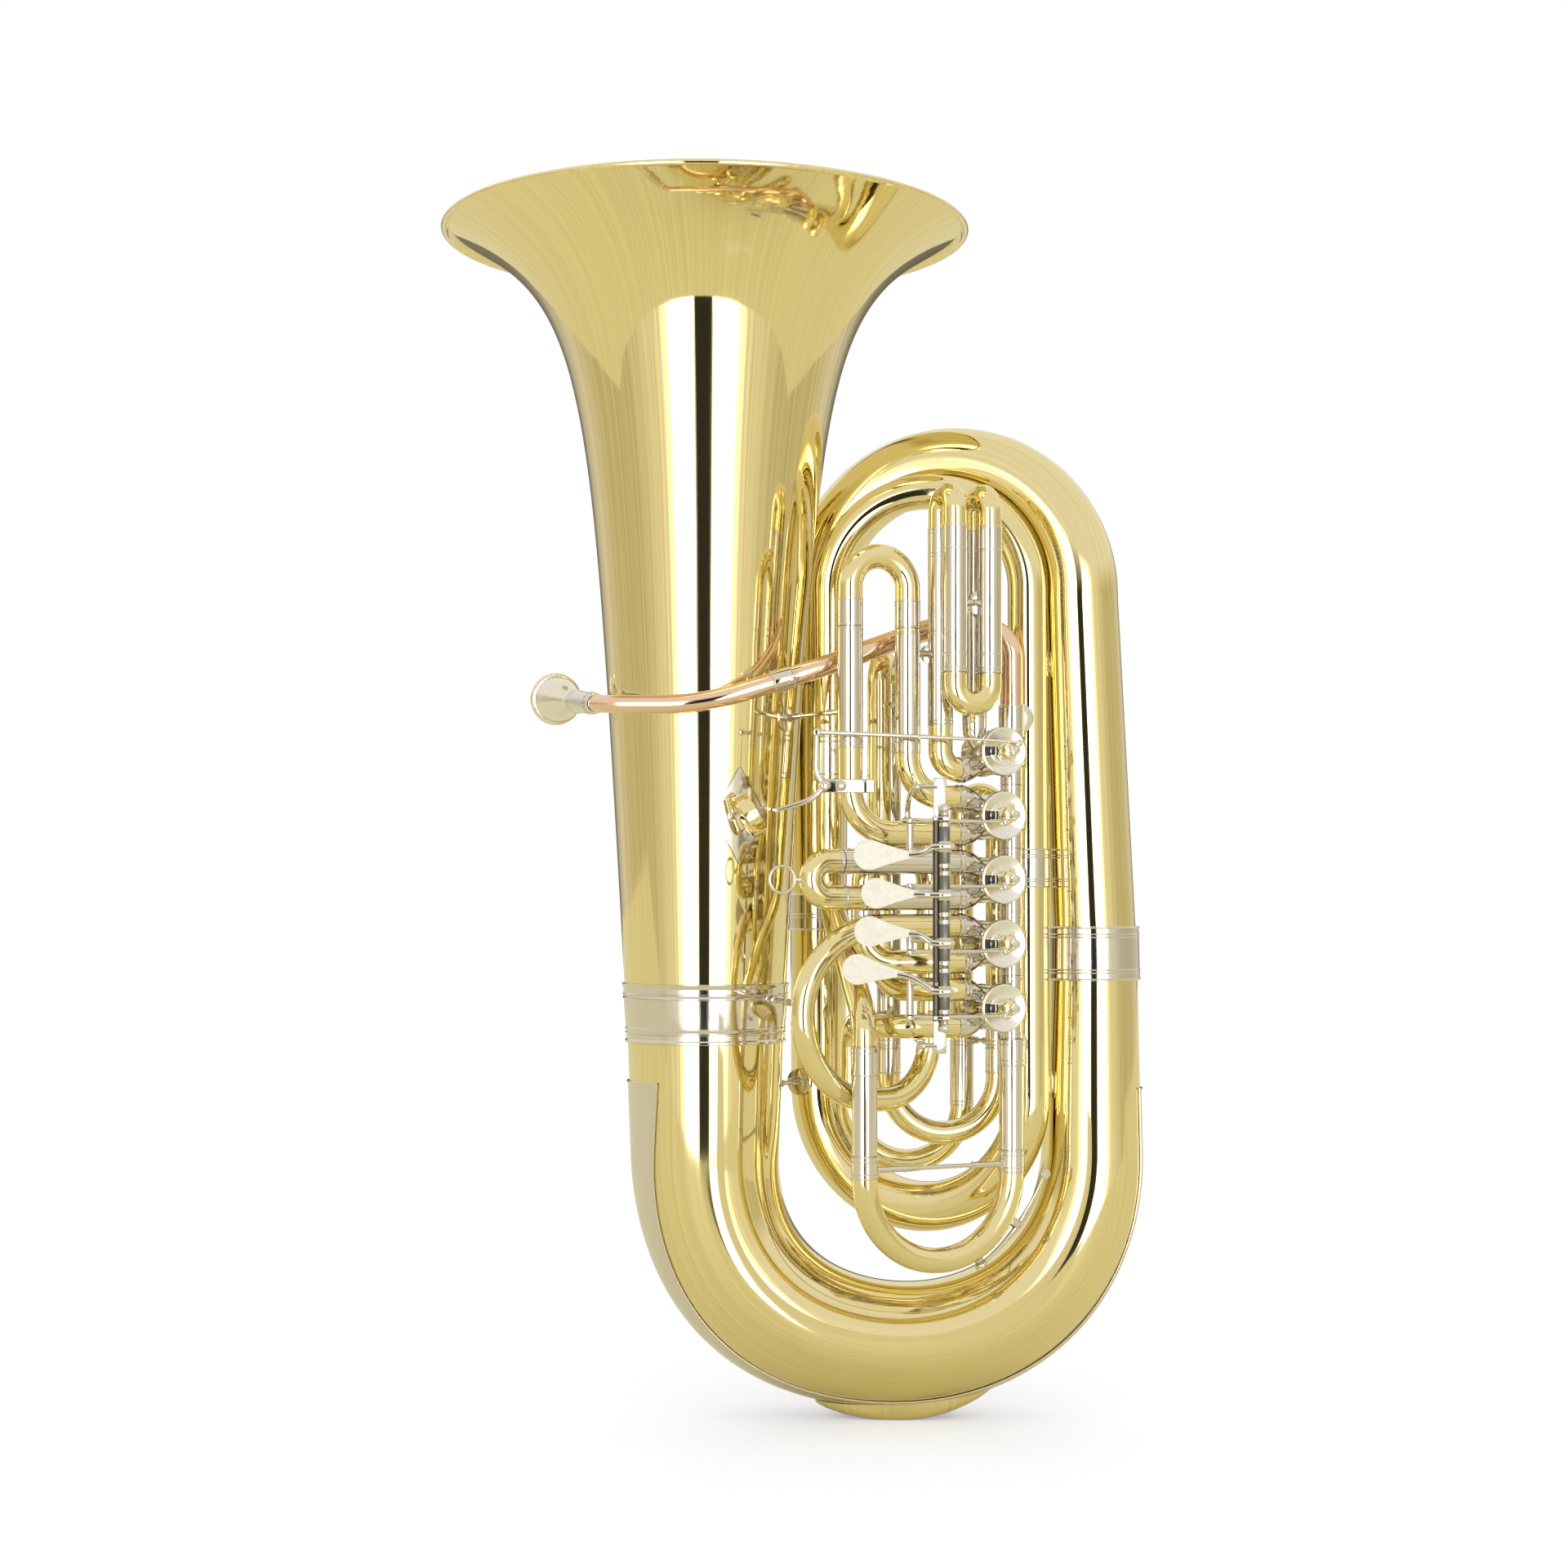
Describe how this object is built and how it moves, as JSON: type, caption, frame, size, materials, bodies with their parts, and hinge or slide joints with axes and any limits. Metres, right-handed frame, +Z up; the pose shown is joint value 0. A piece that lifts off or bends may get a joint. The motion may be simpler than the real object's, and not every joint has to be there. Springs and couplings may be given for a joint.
{
  "type": "rotary-valve contrabass tuba",
  "caption": "Upright tuba, bell up, with rotary valves worked by finger levers and a thumb lever, pull-out tuning slides and a removable mouthpiece.",
  "frame": {"origin": "middle of the foot plate's flat underside, under the bottom bow", "axes": "+Z up towards the bell's mouth, +X from the bell to the outer branch, -Y towards the valves and levers"},
  "size_m": [0.5614, 0.42, 0.949],
  "materials": {
    "brass": "lacquered, polished",
    "nickel_silver": "polished nickel silver",
    "gold_brass": "lacquered gold brass",
    "silver": "silver plated",
    "steel": "bright steel and nickel"
  },
  "bodies": {
    "horn": {"axle_bracket_bottom": "nickel_silver", "axle_bracket_top": "nickel_silver", "bell": "brass", "bell_garland": "nickel_silver", "bottom_bow": "brass", "bow_guard": "nickel_silver", "branch_garland": "nickel_silver", "first_branch": "brass", "foot_plate": "brass", "inner_branch": "brass", "leadpipe": "gold_brass", "lever_axle": "steel", "main_slide_left_tube": "nickel_silver", "main_slide_right_tube": "nickel_silver", "mouthpiece_receiver": "nickel_silver", "outer_branch": "brass", "second_bottom_bow": "brass", "second_top_bow": "brass", "third_branch": "brass", "thumb_lever_bracket": "nickel_silver", "thumb_ring": "nickel_silver", "top_bow": "brass", "valve_1_lower_tube": "brass", "valve_1_upper_tube": "brass", "valve_2_lower_tube": "brass", "valve_2_upper_tube": "brass", "valve_3_lower_tube": "brass", "valve_3_upper_tube": "brass", "valve_4_lower_tube": "brass", "valve_4_upper_tube": "brass", "valve_5_lower_tube": "brass", "valve_5_upper_tube": "brass", "valve_casing_1": "nickel_silver", "valve_casing_2": "nickel_silver", "valve_casing_3": "nickel_silver", "valve_casing_4": "nickel_silver", "valve_casing_5": "nickel_silver"},
    "rotor_1": {"rotor_1": "nickel_silver"},
    "rotor_2": {"rotor_2": "nickel_silver"},
    "rotor_3": {"rotor_3": "nickel_silver"},
    "rotor_4": {"rotor_4": "nickel_silver"},
    "rotor_5": {"rotor_5": "nickel_silver"},
    "lever_1": {"lever_1": "steel"},
    "lever_2": {"lever_2": "steel"},
    "lever_3": {"lever_3": "steel"},
    "lever_4": {"lever_4": "steel"},
    "thumb_lever": {"thumb_lever": "nickel_silver"},
    "link_rod_1": {"link_rod_1": "steel"},
    "link_rod_2": {"link_rod_2": "steel"},
    "link_rod_3": {"link_rod_3": "steel"},
    "link_rod_4": {"link_rod_4": "steel"},
    "link_rod_5": {"link_rod_5": "steel"},
    "main_tuning_slide": {"main_tuning_slide": "brass"},
    "valve_slide_1": {"valve_slide_1": "brass"},
    "valve_slide_2": {"valve_slide_2": "brass"},
    "valve_slide_3": {"valve_slide_3": "brass"},
    "valve_slide_4": {"valve_slide_4": "brass"},
    "valve_slide_5": {"valve_slide_5": "brass"},
    "water_key": {"water_key": "nickel_silver"},
    "mouthpiece": {"mouthpiece": "silver"}
  },
  "joints": [
    {"name": "lever_1_press", "type": "hinge", "parent": "horn", "child": "lever_1", "pos_m": [0.0254, -0.152, 0.4], "axis": [0, 0, -1], "range_deg": [0, 20], "stiffness_Nm_per_rad": 0.15, "springref_deg": -20.05},
    {"name": "rotor_1_turn", "type": "hinge", "parent": "horn", "child": "rotor_1", "pos_m": [0.07, -0.062, 0.4775], "axis": [0.3746, -0.9272, 0], "range_deg": [0, 90]},
    {"name": "link_rod_1_travel", "type": "slide", "parent": "horn", "child": "link_rod_1", "axis": [0.889, 0.458, 0], "range_m": [0, 0.0113]},
    {"name": "lever_2_press", "type": "hinge", "parent": "horn", "child": "lever_2", "pos_m": [0.0254, -0.152, 0.4], "axis": [0, 0, -1], "range_deg": [0, 20], "stiffness_Nm_per_rad": 0.15, "springref_deg": -20.05},
    {"name": "rotor_2_turn", "type": "hinge", "parent": "horn", "child": "rotor_2", "pos_m": [0.07, -0.062, 0.428], "axis": [0.3746, -0.9272, 0], "range_deg": [0, 90]},
    {"name": "link_rod_2_travel", "type": "slide", "parent": "horn", "child": "link_rod_2", "axis": [0.889, 0.458, 0], "range_m": [0, 0.0113]},
    {"name": "lever_3_press", "type": "hinge", "parent": "horn", "child": "lever_3", "pos_m": [0.0254, -0.152, 0.4], "axis": [0, 0, -1], "range_deg": [0, 20], "stiffness_Nm_per_rad": 0.15, "springref_deg": -20.05},
    {"name": "rotor_3_turn", "type": "hinge", "parent": "horn", "child": "rotor_3", "pos_m": [0.07, -0.062, 0.3785], "axis": [0.3746, -0.9272, 0], "range_deg": [0, 90]},
    {"name": "link_rod_3_travel", "type": "slide", "parent": "horn", "child": "link_rod_3", "axis": [0.889, 0.458, 0], "range_m": [0, 0.0113]},
    {"name": "lever_4_press", "type": "hinge", "parent": "horn", "child": "lever_4", "pos_m": [0.0254, -0.152, 0.4], "axis": [0, 0, -1], "range_deg": [0, 20], "stiffness_Nm_per_rad": 0.15, "springref_deg": -20.05},
    {"name": "rotor_4_turn", "type": "hinge", "parent": "horn", "child": "rotor_4", "pos_m": [0.07, -0.062, 0.329], "axis": [0.3746, -0.9272, 0], "range_deg": [0, 90]},
    {"name": "link_rod_4_travel", "type": "slide", "parent": "horn", "child": "link_rod_4", "axis": [0.889, 0.458, 0], "range_m": [0, 0.0113]},
    {"name": "thumb_lever_press", "type": "hinge", "parent": "horn", "child": "thumb_lever", "pos_m": [-0.061, -0.126, 0.4986], "axis": [0.2355, -0.9719, 0], "range_deg": [0, 16], "stiffness_Nm_per_rad": 0.15, "springref_deg": -20.05},
    {"name": "rotor_5_turn", "type": "hinge", "parent": "horn", "child": "rotor_5", "pos_m": [0.07, -0.062, 0.527], "axis": [0.3746, -0.9272, 0], "range_deg": [0, 90]},
    {"name": "link_rod_5_travel", "type": "slide", "parent": "horn", "child": "link_rod_5", "axis": [-0.9719, -0.2355, 0], "range_m": [0, 0.0112]},
    {"name": "main_tuning_slide_pull", "type": "slide", "parent": "horn", "child": "main_tuning_slide", "axis": [0, 0, -1], "range_m": [0, 0.06]},
    {"name": "valve_slide_1_pull", "type": "slide", "parent": "horn", "child": "valve_slide_1", "axis": [0, 0, 1], "range_m": [0, 0.045]},
    {"name": "valve_slide_2_pull", "type": "slide", "parent": "horn", "child": "valve_slide_2", "axis": [-0.9272, -0.3746, 0], "range_m": [0, 0.025]},
    {"name": "valve_slide_3_pull", "type": "slide", "parent": "horn", "child": "valve_slide_3", "axis": [0, 0, 1], "range_m": [0, 0.015]},
    {"name": "valve_slide_4_pull", "type": "slide", "parent": "horn", "child": "valve_slide_4", "axis": [0, 0, -1], "range_m": [0, 0.018]},
    {"name": "valve_slide_5_pull", "type": "slide", "parent": "horn", "child": "valve_slide_5", "axis": [0, 0, -1], "range_m": [0, 0.012]},
    {"name": "water_key_press", "type": "hinge", "parent": "main_tuning_slide", "child": "water_key", "pos_m": [0.0913, -0.0529, 0.1588], "axis": [0.4382, -0.8989, 0], "range_deg": [0, 10], "stiffness_Nm_per_rad": 0.1, "springref_deg": -17.19},
    {"name": "mouthpiece_pull", "type": "slide", "parent": "horn", "child": "mouthpiece", "axis": [-0.3622, 0.9264, 0.103], "range_m": [0, 0.024]}
  ],
  "couplings": [
    {"joint": "rotor_1_turn", "follows": "lever_1_press", "ratio": 4.5},
    {"joint": "link_rod_1_travel", "follows": "lever_1_press", "m_per_rad": 0.0321},
    {"joint": "rotor_2_turn", "follows": "lever_2_press", "ratio": 4.5},
    {"joint": "link_rod_2_travel", "follows": "lever_2_press", "m_per_rad": 0.0321},
    {"joint": "rotor_3_turn", "follows": "lever_3_press", "ratio": 4.5},
    {"joint": "link_rod_3_travel", "follows": "lever_3_press", "m_per_rad": 0.0321},
    {"joint": "rotor_4_turn", "follows": "lever_4_press", "ratio": 4.5},
    {"joint": "link_rod_4_travel", "follows": "lever_4_press", "m_per_rad": 0.0321},
    {"joint": "rotor_5_turn", "follows": "thumb_lever_press", "ratio": 5.625},
    {"joint": "link_rod_5_travel", "follows": "thumb_lever_press", "m_per_rad": 0.0395}
  ]
}
